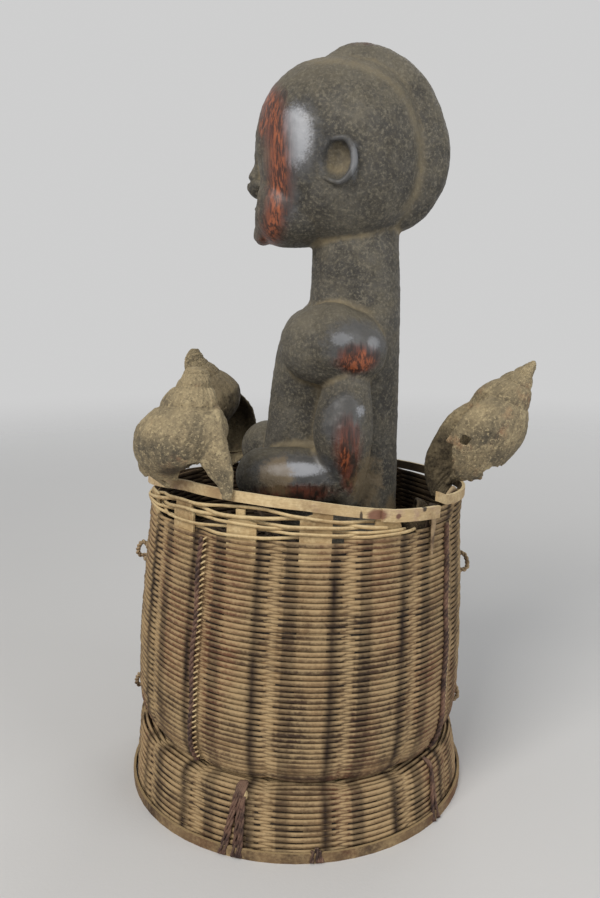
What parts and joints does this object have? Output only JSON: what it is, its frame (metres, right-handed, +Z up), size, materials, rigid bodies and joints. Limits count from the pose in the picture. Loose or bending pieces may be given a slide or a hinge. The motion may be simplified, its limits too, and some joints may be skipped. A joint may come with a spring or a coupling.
{
  "type": "relic basket with figure",
  "caption": "Woven drum-shaped basket on a foot ring, with a seated carved wooden figure and large snail shells standing in its mouth.",
  "frame": {"origin": "centre of the whole object's box in plan, on the surface that the foot ring stands on", "axes": "+Z up; the figure faces -X; the torn side of the rim faces -Y"},
  "size_m": [0.3072, 0.2522, 0.5235],
  "materials": {
    "weave": "dusty woven cane",
    "splint": "raw split cane",
    "cord": "twisted bast cord",
    "packing": "dark bark fibre",
    "carved_wood": "black crusty patina, worn red on its edges",
    "shell": "chalky, earth-stained"
  },
  "bodies": {
    "basket": {"foot_ring": "weave", "foot_hem_outer": "splint", "foot_hem_inner": "splint", "foot_lashing_front_left": "cord", "foot_lashing_front_right": "cord", "foot_lashing_side": "cord", "basket_wall": "weave", "basket_floor": "weave", "stake_1": "splint", "stake_2": "splint", "stake_3": "splint", "stake_4": "splint", "stake_5": "splint", "rim_hoop": "splint", "rim_splice": "splint", "loose_weft_1": "splint", "loose_weft_2": "splint", "loose_weft_3": "splint", "seam_cord_1": "cord", "seam_cord_2": "cord", "seam_cord_3": "cord", "seam_cord_4": "cord", "cord_loop_left_upper": "cord", "cord_loop_left_lower": "cord", "cord_loop_right_upper": "cord", "cord_loop_right_lower": "cord", "packing_bundle": "packing", "shell_inner": "shell"},
    "figure": {"figure": "carved_wood"},
    "shell_front_left": {"shell_front_left": "shell"},
    "shell_rear_left": {"shell_rear_left": "shell"},
    "shell_right": {"shell_right": "shell"}
  },
  "joints": [
    {"name": "figure_lift", "type": "slide", "parent": "basket", "child": "figure", "axis": [0, 0, 1], "range_m": [0, 0.16]},
    {"name": "shell_front_left_lift", "type": "slide", "parent": "basket", "child": "shell_front_left", "axis": [0, 0, 1], "range_m": [0, 0.06]},
    {"name": "shell_rear_left_lift", "type": "slide", "parent": "basket", "child": "shell_rear_left", "axis": [0, 0, 1], "range_m": [0, 0.06]},
    {"name": "shell_right_lift", "type": "slide", "parent": "basket", "child": "shell_right", "axis": [0, 0, 1], "range_m": [0, 0.06]}
  ]
}
